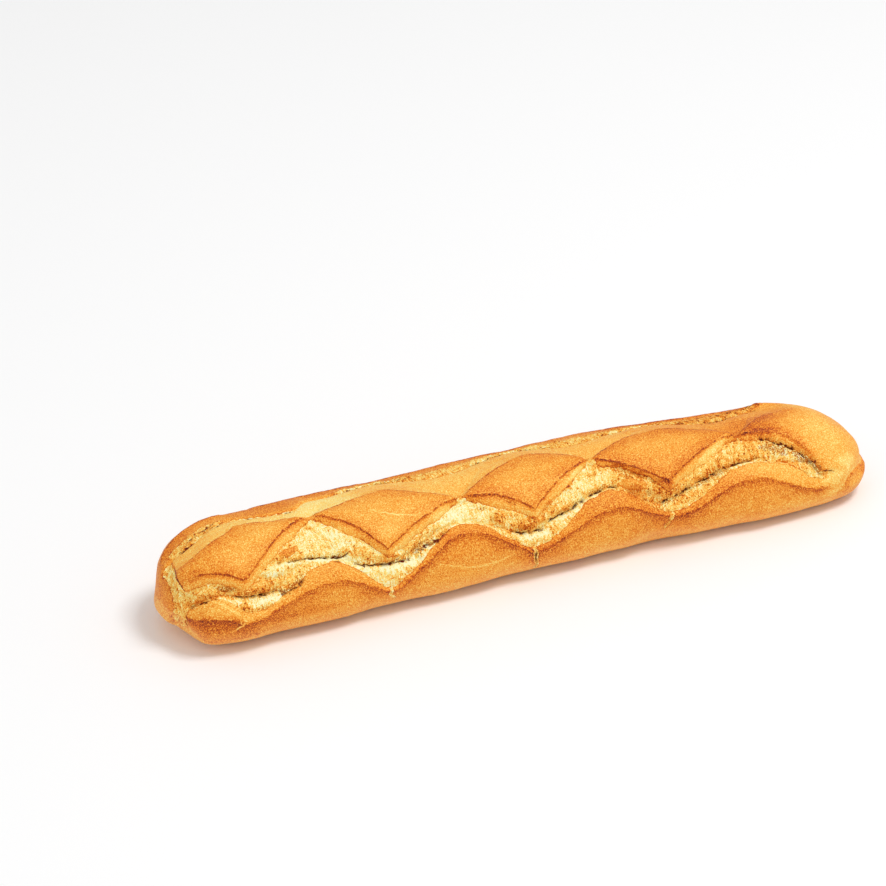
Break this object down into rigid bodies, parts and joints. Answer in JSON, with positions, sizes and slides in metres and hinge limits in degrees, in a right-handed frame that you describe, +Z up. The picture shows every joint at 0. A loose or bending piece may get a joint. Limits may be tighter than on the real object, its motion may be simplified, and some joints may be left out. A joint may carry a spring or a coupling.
{
  "type": "white bread loaf",
  "caption": "Long white bread loaf with a flat base, rounded ends and a lattice of opened slanting cuts along its top.",
  "frame": {"origin": "centre of the loaf's box on the surface that it rests on", "axes": "+X along the loaf, +Z up through its crust"},
  "size_m": [0.4454, 0.0856, 0.0595],
  "materials": {
    "crust": "satin baked crust, paler where the cuts opened"
  },
  "bodies": {
    "root": {"loaf": "crust"}
  },
  "joints": []
}
